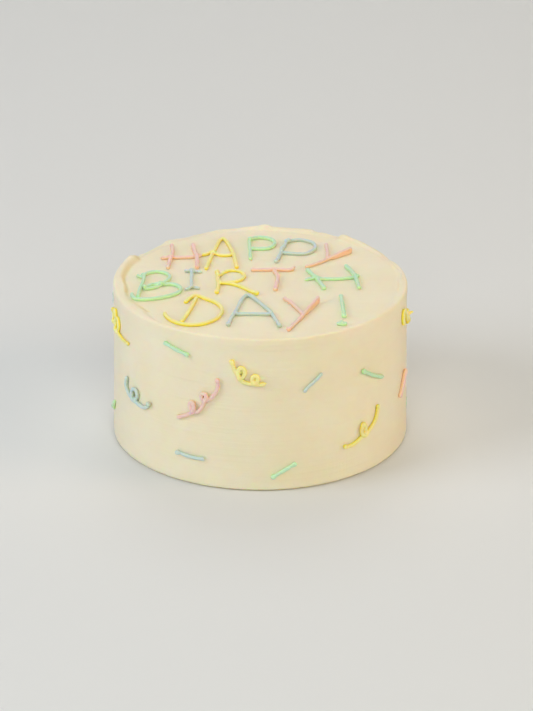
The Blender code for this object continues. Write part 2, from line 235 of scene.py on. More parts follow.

# Angle in degrees from the front, crest above the top in mm, width of the lip in mm, how steep its inner
# side is, and how much painted shade, in a deeper butter colour, that side gets in its fold.
RIM = (
    (-178, 1.8, 6.5, 0.3, 0.0),
    (-174.5, 1.3, 6.5, 0.3, 0.0),
    (-170, 0.5, 6.5, 0.3, 0.0),
    (-163, 0.7, 6.5, 0.3, 0.0),
    (-159, 0.1, 6.5, 0.3, 0.0),
    (-154, -0.6, 6.5, 0.3, 0.1),
    (-148, -1.0, 7.0, 0.3, 0.1),
    (-142, -0.2, 7.5, 0.3, 0.1),
    (-139, 0.6, 7.5, 0.4, 0.1),
    (-135, -1.3, 8.0, 0.4, 0.0),
    (-130, -2.2, 8.0, 0.4, 0.0),
    (-126, -2.5, 8.0, 0.4, 0.0),
    (-122.5, -1.7, 8.0, 0.4, 0.0),
    (-119.3, -2.8, 7.0, 0.2, 0.3),
    (-117.2, 1.2, 6.5, 0.1, 0.4),
    (-114.3, 2.5, 9.0, 0.1, 0.6),
    (-108, 1.8, 8.0, 0.2, 0.8),
    (-101, 1.4, 7.8, 0.3, 1.0),
    (-95, 1.2, 7.2, 0.5, 1.0),
    (-90, 1.1, 7.2, 0.9, 0.9),
    (-85, 1.1, 8.2, 1.0, 0.7),
    (-81, 1.05, 8.3, 1.0, 0.9),
    (-76, 0.7, 7.2, 0.9, 0.7),
    (-71, 0.55, 7.2, 0.6, 0.1),
    (-64, 0.6, 8.4, 0.7, 0.3),
    (-57, 0.6, 8.6, 0.8, 0.4),
    (-52, 0.5, 6.0, 0.6, 0.1),
    (-45, 0.8, 3.8, 0.6, 0.0),
    (-30, 1.0, 3.5, 0.6, 0.0),
    (-10, 0.8, 3.2, 0.6, 0.0),
    (0, 0.5, 3.0, 0.5, 0.0),
    (13, 0.5, 3.2, 0.6, 0.0),
    (17, 0.15, 3.2, 0.6, 0.0),
    (21, 0.7, 3.3, 0.6, 0.0),
    (28, 0.3, 3.4, 0.6, 0.0),
    (45, 0.4, 3.6, 0.6, 0.0),
    (75, 0.4, 5.0, 0.6, 0.0),
    (96, 0.35, 6.5, 0.5, 0.0),
    (104, 0.4, 6.5, 0.5, 0.1),
    (109, 0.0, 6.5, 0.5, 0.1),
    (115.5, -1.1, 7.0, 0.4, 0.0),
    (122, 0.2, 7.0, 0.6, 0.0),
    (128, 0.9, 7.0, 0.6, 0.0),
    (136.5, 2.0, 7.0, 0.6, 0.0),
    (139.5, 2.1, 7.0, 0.6, 0.0),
    (141.5, 2.7, 7.0, 0.6, 0.0),
    (142.8, 3.0, 7.0, 0.6, 0.0),
    (143.6, 2.5, 7.0, 0.6, 0.0),
    (145.7, 0.2, 7.0, 0.6, 0.0),
    (149, 0.1, 7.0, 0.5, 0.0),
    (152, 0.45, 7.0, 0.5, 0.0),
    (156, 0.4, 7.0, 0.5, 0.0),
    (158.5, 1.8, 7.0, 0.6, 0.0),
    (168, 1.1, 7.0, 0.6, 0.0),
    (174, 1.3, 7.0, 0.6, 0.0),
    (178, 3.1, 7.0, 0.5, 0.0),
)
# Marks of the spatula near the rim: where each runs in mm, half its width, its depth (less than 0 for a
# ridge), and how much painted shade, in a deeper butter colour, it gets.
MARKS = (
    (((-88.6, -13.5), (-88.6, -18.5)), 1.6, 0.3, 0.9),
    (((-84.0, 42.0), (-82.4, 39.0)), 1.6, 0.4, 0.7),
    (((-78.6, -42.0), (-75.6, -47.0), (-72.4, -51.5)), 0.8, 0.25, 0.6),
    (((43.0, 87.5), (55.0, 78.5), (64.0, 71.0), (73.0, 61.5), (81.5, 49.0), (88.0, 33.0), (93.0, 17.0)),
     0.8, -0.35, 0.0),
    (((50.0, 78.5), (60.0, 71.0), (70.0, 60.5), (78.0, 49.5)), 0.7, 0.2, 0.2),
    (((92.5, 6.0), (92.0, -4.0), (90.5, -14.0)), 0.7, -0.25, 0.0),
    (((94.8, 12.0), (94.8, 2.5)), 0.6, -0.5, 0.0),
)


def ease(t):
    t = min(max(t, 0.0), 1.0)
    return t * t * (3 - 2 * t)


def rim_at(angle):
    """Crest, width, steepness and painted shade of the lip at an angle in radians."""
    here = (math.degrees(angle) + 178) % 360 - 178
    closed = RIM + ((RIM[0][0] + 360,) + RIM[0][1:],)
    for first, second in zip(closed, closed[1:]):
        if first[0] <= here <= second[0]:
            t = ease((here - first[0]) / (second[0] - first[0]))
            return [a + (b - a) * t for a, b in zip(first[1:], second[1:])]
    return list(RIM[0][1:])


def grain(x, y, z, seed=0.0):
    """Smooth noise between -1 and 1 at a point measured in waves."""
    return noise.noise(Vector((x + seed, y - seed, z + 0.37 * seed)))


def wall_radius(angle, z):
    """Radius of the side: draft, flare, the hand's slow waves and the scraper's fine lines."""
    radius = BASE_RADIUS + (TOP_RADIUS - BASE_RADIUS) * z / HEIGHT
    flare = min(max((z - FLARE_FROM) / (FLARE_TO - FLARE_FROM), 0.0), 1.0)
    radius += (LIP_OVERHANG + (BASE_RADIUS - TOP_RADIUS) * (FLARE_TO / HEIGHT - 1)) * flare
    x, y = math.sin(angle), -math.cos(angle)
    radius += WAVE * grain(1.6 * x, 1.6 * y, z / WAVE_TALL, 3.1)
    radius += LINE * grain(3.0 * x, 3.0 * y, z / LINE_TALL, 7.7)
    return radius


def marks_at(x, y):
    """Depth in mm and painted shade that the spatula's marks leave at a point of the top."""
    spot = Vector((x, y))
    depth, shade_tone = 0.0, 0.0
    for points, half, deep, crease_shade in MARKS:
        near = FAR_OFF
        for a, b in zip(points, points[1:]):
            foot, share = intersect_point_line(spot, a, b)
            if share < 0 or share > 1:
                foot = Vector(a if share < 0 else b)
            near = min(near, (spot - foot.to_2d()).length)
        here = math.exp(-(near / half) ** 2)
        depth += deep * here
        shade_tone = max(shade_tone, crease_shade * here)
    return depth, shade_tone


def top_surface(x, y):
    """Height of the top and how much painted shade it gets: flat with faint swipes, and the lip at its edge.
    """
    radius, angle = math.hypot(x, y), math.atan2(x, -y)
    height = HEIGHT + SWIPE * grain(x / 34, y / 9, 0, 1.3) + DIP * grain(x / 60, y / 60, 0, 9.2)
    if radius < LIP_REACH:
        return height, 0.0
    crest, wide, steep, crease_shade = rim_at(angle)
    inward = (TOP_RADIUS - radius) / wide
    rise = 1 - ease((inward - 0.12 - 0.62 * steep) / (0.88 - 0.62 * steep))
    height += crest * rise
    groove = math.exp(-((inward - 1.06) / 0.10) ** 2)
    height -= GROOVE * steep ** 4 * max(crest, 0.0) * groove
    toward_back = ease((math.degrees(abs(angle)) - ROLL_FROM) / ROLL_OVER)
    height -= ROLL * toward_back * (1 - ease(inward / 0.5)) ** 2
    # Painted shade on the inner side of the lip, where its fold lies.
    shade_tone = crease_shade * math.exp(-((inward - 0.62 - 0.40 * steep) / (0.34 - 0.20 * steep)) ** 2)
    depth, mark_shade = marks_at(x, y)
    return height - depth, max(shade_tone, mark_shade)


for degrees in (0, -90, 178):
    print("rim at", degrees, "degrees:", [round(v, 2) for v in rim_at(math.radians(degrees))])

# %% [markdown]
# ## The body
# A cake on a turntable is a turned form, so we model it as one: half an outline is drawn by extruding
# a single point up the side, over the lip and in to the middle, and Spin carries it round. The ring left
# open in the middle, above and below, gets one face each. Rows are close together near the rim and the
# foot, where the light shows every change, and further apart on the plain side. The foot sits in a
# little, because the scraper stops just short of it, and leaves a thin dark line under the cake.

# %% Outline of the body
COLUMNS = 480
FOOT_GAP = 1.0
FOOT_INSET = 1.8
EDGE_ROUND = 1.4
BASE_RING, RIM_BAND, MIDDLE_RING = 12, 14, 4.0
MERGE = 0.00002


def spread(first, last, count):
    """Even steps from first to last, without first itself."""
    return [first + (last - first) * i / count for i in range(1, count + 1)]


def outline():
    """Radius and height in mm, from the middle of the base round to the middle of the top."""
    foot = BASE_RADIUS - FOOT_INSET
    points = [(BASE_RADIUS - BASE_RING, 0.0), (foot, 0.0), (foot, 0.5)]
    points += [(BASE_RADIUS - 0.5, FOOT_GAP - 0.1), (BASE_RADIUS - 0.1, FOOT_GAP + 0.2)]
    points += [(BASE_RADIUS, z) for z in spread(FOOT_GAP + 0.4, 6.0, 5)]
    points += [(BASE_RADIUS, z) for z in spread(6.0, FLARE_FROM, 70)]
    points += [(BASE_RADIUS, z) for z in spread(FLARE_FROM, HEIGHT - EDGE_ROUND, 8)]
    for turn in spread(0, 90, 6):
        bend = math.radians(turn)
        points.append((BASE_RADIUS - EDGE_ROUND * (1 - math.cos(bend)),
                       HEIGHT - EDGE_ROUND * (1 - math.sin(bend))))
    points += [(r, HEIGHT) for r in spread(BASE_RADIUS - EDGE_ROUND, BASE_RADIUS - RIM_BAND, 30)]
    points += [(r, HEIGHT) for r in spread(BASE_RADIUS - RIM_BAND, MIDDLE_RING, 26)]
    return points


half = outline()
bpy.ops.object.select_all(action="DESELECT")
bpy.ops.mesh.primitive_plane_add(size=0.002)
body = bpy.context.object
body.name = "cake_body"
bpy.ops.object.mode_set(mode="EDIT")
bpy.ops.mesh.select_all(action="SELECT")
bpy.ops.mesh.merge(type="CENTER")
bpy.ops.transform.translate(value=(half[0][0] * MM, 0, half[0][1] * MM))
for (r0, z0), (r1, z1) in zip(half, half[1:]):
    move = ((r1 - r0) * MM, 0, (z1 - z0) * MM)
    bpy.ops.mesh.extrude_region_move(TRANSFORM_OT_translate={"value": move})
bpy.ops.mesh.select_all(action="SELECT")
bpy.ops.mesh.spin(steps=COLUMNS, angle=2 * math.pi, center=(0, 0, 0), axis=(0, 0, 1))
bpy.ops.mesh.select_all(action="SELECT")
bpy.ops.mesh.remove_doubles(threshold=MERGE)
bpy.ops.mesh.select_all(action="DESELECT")
bpy.ops.mesh.select_non_manifold()
bpy.ops.mesh.edge_face_add()
bpy.ops.mesh.select_all(action="SELECT")
bpy.ops.mesh.normals_make_consistent(inside=False)
bpy.ops.object.mode_set(mode="OBJECT")
print("turned body:", len(body.data.vertices), "points,", len(body.data.polygons), "faces")

# %% [markdown]
# ## Move the turned body to its real form
# The outline is the same all the way round, so the ragged rim and the hand's waves come from moving the
# points, as pushing with a sculpting brush would. A point on the side takes its radius from the wall,
# a point on the top takes its height from the lip, and the rows just under the rim rise with its crest.
# Each point also keeps a painted shade, from 0 for plain cream to 1 for butter-coloured shade in the folds
# and at the foot, which the material reads later.

# %% Shape the body
LIP_STARTS, LIP_SHARE = 95.0, 0.8
# The foot is a little ragged: how far in mm its edge is nibbled, between which heights.
NIBBLE, NIBBLE_FROM, NIBBLE_TO = 0.45, 0.3, 1.4
SHARP_EDGE = 60

shade_tones = body.data.attributes.new("shade_tone", "FLOAT", "POINT")
for vertex in body.data.vertices:
    x, y, z = vertex.co / MM
    radius, angle = math.hypot(x, y), math.atan2(x, -y)
    inset = BASE_RADIUS - radius
    crest = rim_at(angle)[0]
    if z < HEIGHT - EDGE_ROUND - 0.01:
        new_radius = wall_radius(angle, z) - inset
        new_z = z + LIP_SHARE * crest * ease((z - LIP_STARTS) / (HEIGHT - LIP_STARTS))
        # Painted shade: the foot below the gap takes the full butter-coloured shade.
        shade_tones.data[vertex.index].value = 1.0 if z < FOOT_GAP else 0.0
        if NIBBLE_FROM < z < NIBBLE_TO:
            new_z += NIBBLE * max(grain(22 * math.sin(angle), 22 * math.cos(angle), 0, 5.5), 0)
    else:
        new_radius = radius * wall_radius(angle, HEIGHT) / BASE_RADIUS
        edge = Vector((math.sin(angle), -math.cos(angle))) * new_radius
        height, shade_tones.data[vertex.index].value = top_surface(edge.x, edge.y)
        new_z = height - (HEIGHT - z)
    vertex.co = Vector((new_radius * math.sin(angle), -new_radius * math.cos(angle),
                        new_z if z > 0 else 0.0)) * MM
bpy.ops.object.select_all(action="DESELECT")
body.select_set(True)
bpy.context.view_layer.objects.active = body
bpy.ops.object.shade_smooth_by_angle(angle=math.radians(SHARP_EDGE))
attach(body, "root")
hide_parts("cake")
print("body height in mm:", round(max(v.co.z for v in body.data.vertices) / MM, 1))

# %% [markdown]
# ## Buttercream
# American buttercream is butter beaten with icing sugar. Light goes a few millimetres into the fat before
# it comes back, so shadows in it are soft and warm, and the air and sugar scatter so much that it is
# nearly white. The dry crust gives a dull satin gloss. A steel scraper draws fine level lines round the
# side, and on the top it leaves straight swipes. Tiny burst air bubbles show as pits. The folds of the
# lip, the spatula's creases and the foot get painted shade: the shade tone kept on each point mixes in a
# deeper butter colour there. A soft mottle, the cream's own uneven colour, adds a little of it everywhere.

# %% Buttercream material
# The deeper butter colour is the cream's own mottle and also the painted shade in folds and at the foot.
CREAM, BUTTER_AND_SHADE = "#f4e9cd", "#ead5a1"
# Patterns are given in waves a metre: mottle 4 cm wide, bubbles 5 mm apart, sugar grain of 1 mm, which
# is coarser than real to show at all, scraper lines 2.4 mm apart, and swipes 6 mm apart along the top.
MOTTLE_WAVES, BUBBLES, SUGAR_GRAIN = 26, 210, 900
SCRAPER_LINES = (9, 9, 420)
SWIPES, SWIPE_TURN = (22, 170, 4), -7
MOTTLE = 0.2
LIGHT_DEPTH = 2.6 * MM
LINE_BUMP, SWIPE_BUMP = 0.35 * MM, 0.3 * MM


def buttercream(name, pale, deep, lines, gloss):
    """Beaten buttercream. lines is how strongly the scraper's marks show, 0 for piped beads, and gloss
    goes from 0 for a dull crust to 1 for a fresh moist bead."""
    material, tree, shader = new_material(name)
    here = add_node(tree, "ShaderNodeTexCoord").outputs["Object"]
    patches = add_node(tree, "ShaderNodeTexNoise", {"Vector": here, "Scale": MOTTLE_WAVES, "Detail": 4,
                                                    "Roughness": 0.6})
    mottle = add_node(tree, "ShaderNodeMapRange", {"Value": patches.outputs["Fac"], "From Min": 0.36,
                                                   "From Max": 0.66, "To Max": MOTTLE})
    # Painted shade: the shade tone, added to the mottle, mixes in the deep colour on folds, foot and bead
    # flanks.
    shade_tone = add_node(tree, "ShaderNodeAttribute", attribute_name="shade_tone")
    depth = add_node(tree, "ShaderNodeMath", {0: shade_tone.outputs["Fac"], 1: mottle.outputs["Result"]},
                     operation="ADD", use_clamp=True)
    blend = add_node(tree, "ShaderNodeMix", {"Factor": depth.outputs["Value"]}, data_type="RGBA")
    blend.inputs["A"].default_value = linear(pale)
    blend.inputs["B"].default_value = linear(deep)
    tree.links.new(blend.outputs["Result"], shader.inputs["Base Color"])
    shader.inputs["Roughness"].default_value = 0.56 - 0.2 * gloss
    # Butterfat bends light by 1.46, a little less than glass.
    shader.inputs["IOR"].default_value = 1.46
    shader.inputs["Specular IOR Level"].default_value = 0.32 + 0.2 * gloss
    shader.inputs["Subsurface Weight"].default_value = 0.75
    shader.inputs["Subsurface Radius"].default_value = (1.0, 0.58, 0.25)
    shader.inputs["Subsurface Scale"].default_value = LIGHT_DEPTH
    crumb = add_node(tree, "ShaderNodeTexNoise", {"Vector": here, "Scale": SUGAR_GRAIN, "Detail": 3})
    rough = add_node(tree, "ShaderNodeBump", {"Height": crumb.outputs["Fac"], "Strength": 0.35,
                                              "Distance": 0.12 * MM})
    bubble_spots = add_node(tree, "ShaderNodeTexVoronoi", {"Vector": here, "Scale": BUBBLES,
                                                           "Randomness": 1.0})
    bubble = add_node(tree, "ShaderNodeMapRange", {"Value": bubble_spots.outputs["Distance"],
                                                   "From Min": 0.02, "From Max": 0.11})
    pits = add_node(tree, "ShaderNodeBump", {"Height": bubble.outputs["Result"], "Strength": 0.5,
                                             "Distance": 0.2 * MM, "Normal": rough.outputs["Normal"]})
    last = pits
    if lines:
        level = add_node(tree, "ShaderNodeMapping", {"Vector": here, "Scale": SCRAPER_LINES})
        drag = add_node(tree, "ShaderNodeTexNoise", {"Vector": level.outputs["Vector"], "Scale": 1,
                                                     "Detail": 3, "Roughness": 0.55})
        last = add_node(tree, "ShaderNodeBump", {"Height": drag.outputs["Fac"], "Strength": lines,
                                                 "Distance": LINE_BUMP, "Normal": last.outputs["Normal"]})
        swipe = add_node(tree, "ShaderNodeMapping", {"Vector": here, "Scale": SWIPES,
                                                     "Rotation": (0, 0, math.radians(SWIPE_TURN))})
        sweep = add_node(tree, "ShaderNodeTexNoise", {"Vector": swipe.outputs["Vector"], "Scale": 1,
                                                      "Detail": 3, "Roughness": 0.55})
        last = add_node(tree, "ShaderNodeBump", {"Height": sweep.outputs["Fac"], "Strength": lines,
                                                 "Distance": SWIPE_BUMP, "Normal": last.outputs["Normal"]})
    tree.links.new(last.outputs["Normal"], shader.inputs["Normal"])
    return material


body.data.materials.append(buttercream("vanilla_buttercream_scraped", CREAM, BUTTER_AND_SHADE, lines=0.9, gloss=0.2))

# %% [markdown]
# ## A bead of icing
# A bag with a small round nozzle lays a bead about three millimetres wide. It starts with a blob, because
# the icing comes before the hand moves, then a slight neck, and it ends rounded or in a thin pulled tip.
# Where one bead crosses another it climbs over it. A curve with a round bevel and a radius at every
# point gives all of this, which is why we pipe with curves and only then turn them into a mesh.

# %% Lay a bead
# Width of a bead and steps along it in mm, the share of it that sinks in, and how high it climbs over
# another bead in shares of BEAD, how near that is felt, and how many widths of its own tail it ignores.
BEAD = 2.7
STEP = 0.4
SINK = 0.2
CLIMB, CLIMB_WIDE = 0.5, 0.62
OWN_TAIL = 2.3
BEAD_ROUNDNESS = 4


def on_top(u, v, up):
    return Vector((u, v, top_surface(u, v)[0] + up))


def on_side(arc, z, up):
    angle = arc / ARC_RADIUS
    radius = wall_radius(angle, z) + up
    return Vector((radius * math.sin(angle), -radius * math.cos(angle), z))


def squeeze(*points, width=BEAD, start=0.12, end=0.04, tip_start=0.0, tip_end=0.0, knobs=0.05, climb=CLIMB):
    """One squeeze: its way, its width, how far both ends swell and how far they are pulled up, how uneven
    it is, and how high it climbs. A third number in a point lifts the bead there."""
    return {"points": points, "width": width, "start": start, "end": end,
            "tip_start": tip_start, "tip_end": tip_end, "knobs": knobs, "climb": climb}


def walk(points):
    """Even steps in mm along a smooth curve through points of (u, v) or (u, v, up)."""
    pts = [Vector(p).to_3d() for p in points]
    pts = [2 * pts[0] - pts[1], *pts, 2 * pts[-1] - pts[-2]]
    way = [pts[1]]
    for a, b, c, d in zip(pts, pts[1:], pts[2:], pts[3:]):
        count = max(8, int((c - b).length / 0.1))
        for i in range(1, count + 1):
            t = i / count
            spot = 0.5 * (2 * b + (c - a) * t + (2 * a - 5 * b + 4 * c - d) * t * t
                          + (3 * b - a - 3 * c + d) * t ** 3)
            if (spot - way[-1]).length >= STEP:
                way.append(spot)
    return way + [pts[-2]]


def swelling(s, left, half, bag):
    """Share of the normal radius at a length s from the start, with the rest of the way left."""
    size = 1.0
    for far, swell in ((s, bag["start"]), (left, bag["end"])):
        size += swell * math.exp(-((far - half) / (1.2 * half)) ** 2)
        size -= 0.45 * swell * math.exp(-((far - 3.1 * half) / half) ** 2)
    for far, tip in ((s, bag["tip_start"]), (left, bag["tip_end"])):
        if tip:
            size *= 0.34 + 0.66 * ease(far / (1.6 + 0.9 * tip))
    return size


def lay(bag, place, below, seed):
    """One closed tube of icing along the way, climbing over the ways that lie below it."""
    way = walk(bag["points"])
    half = bag["width"] / 2
    lengths = [0.0]
    for a, b in zip(way, way[1:]):
        lengths.append(lengths[-1] + (b - a).length)
    total = lengths[-1]
    steps = []
    for i, (spot, s) in enumerate(zip(way, lengths)):
        left = total - s
        radius = half * swelling(s, left, half, bag)
        radius *= 1 + bag["knobs"] * grain(s / 2.6, seed, 0)
        own = way[:max(0, i - int(OWN_TAIL * bag["width"] / STEP))]
        near = min(((spot - other).to_2d().length for other in [*below, *own]), default=FAR_OFF)
        up = radius * (1 - SINK) + spot.z
        up += bag["climb"] * BEAD * math.exp(-(near / (CLIMB_WIDE * BEAD)) ** 2)
        for far, tip in ((s, bag["tip_start"]), (left, bag["tip_end"])):
            up += tip * (1 - ease(far / (2.4 + tip))) if tip else 0
        # The first and last half width follow a circle, so the bead's ends are round.
        cap = math.sqrt(max(0.0, 1 - (1 - min(min(s, left) / half, 1)) ** 2))
        steps.append((place(spot.x, spot.y, up) * MM, radius * max(cap, 0.15) * MM))
    bpy.ops.object.select_all(action="DESELECT")
    bpy.ops.curve.primitive_nurbs_path_add()
    tube = bpy.context.object
    tube.data.splines.clear()
    spline = tube.data.splines.new("POLY")
    spline.points.add(len(steps) - 1)
    for point, (where, radius) in zip(spline.points, steps):
        point.co = (*where, 1)
        point.radius = radius / MM
    tube.data.bevel_depth = MM
    tube.data.bevel_resolution = BEAD_ROUNDNESS
    tube.data.use_fill_caps = True
    bpy.ops.object.convert(target="MESH")
    return tube, way


# %% [markdown]
# ## Melt the beads together
# Where soft beads meet they melt into each other. Joining the tubes leaves hard creases and hidden walls,
# so a voxel Remesh at a third of a millimetre turns them into one skin, and a light Smooth rounds the
# steps that it leaves. Each point then gets a painted shade by how far it faces away from the cake: 0 on
# the crown of the bead, left pale as a lit top, and 1 low on its flanks, painted as their shaded side.

# %% Melt
VOXEL = 0.3
SOFTEN, SOFTEN_TIMES = 0.5, 4
# Share of the normal that points outwards where the pale crown ends and the painted shade begins, and
# over which it fades to the flank.
CROWN_ENDS, CROWN_FADE = 0.75, 0.75


def pipe(name, colour, place, bags):
    """Lay all squeezes of one piece, melt them together, and put the piece in the model's place."""
    tubes, below = [], []
    for number, bag in enumerate(bags):
        tube, way = lay(bag, place, below, 17.3 * number + sum(map(ord, name)) / 7)
        tubes.append(tube)
        below += way
    bpy.ops.object.select_all(action="DESELECT")
    for tube in tubes:
        tube.select_set(True)
    piece = tubes[0]
    bpy.context.view_layer.objects.active = piece
    if len(tubes) > 1:
        bpy.ops.object.join()
    piece.name = "piped_" + name
    melt = piece.modifiers.new("melt", "REMESH")
    melt.mode = "VOXEL"
    melt.voxel_size = VOXEL * MM
    bpy.ops.object.modifier_apply(modifier="melt")
    soften = piece.modifiers.new("soften", "SMOOTH")
    soften.factor = SOFTEN
    soften.iterations = SOFTEN_TIMES
    bpy.ops.object.modifier_apply(modifier="soften")
    bpy.ops.object.shade_smooth()
    # Painted shade: the flanks, facing away from the light above, take the deeper colour of a shaded side.
    shade_tones = piece.data.attributes.new("shade_tone", "FLOAT", "POINT")
    for vertex in piece.data.vertices:
        out = Vector((0, 0, 1)) if place is on_top else Vector((vertex.co.x, vertex.co.y, 0)).normalized()
        shade_tones.data[vertex.index].value = ease((CROWN_ENDS - vertex.normal.dot(out)) / CROWN_FADE)
    piece.data.materials.clear()
    piece.data.materials.append(icing[colour])
    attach(piece, "root")
    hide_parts(name)
    return piece


# %% [markdown]
# ## Coloured icing
# The piping is the same buttercream with a little gel colour beaten in, so it shares the material above,
# without the scraper's marks and with the gloss of a fresh bead. A bead is thin, so more light passes
# through it, and its shaded side glows in a stronger colour. Each colour is a pair for that reason: the
# first is the crown, painted paler as a lit top, the second the flank, painted as that glowing shaded side.

# %% Icing materials
# In each pair the crown colour is a painted highlight and the flank colour a painted shade.
ICING = {
    "pink": ("#efcfc8", "#ffcca4"),
    "yellow": ("#f7eaa4", "#ffe452"),
    "green": ("#c4e5c9", "#c9eeb0"),
    "blue": ("#c9dad8", "#c3cfb9"),
}
icing = {colour: buttercream("piped_buttercream_" + colour, pale, deep, lines=0, gloss=1.0)
         for colour, (pale, deep) in ICING.items()}

# %% [markdown]
# ## The greeting
# Each letter is piped in a few single strokes, as a person writes capitals. The strokes are listed in the
# order in which they were laid, because the later one climbs over the earlier one.

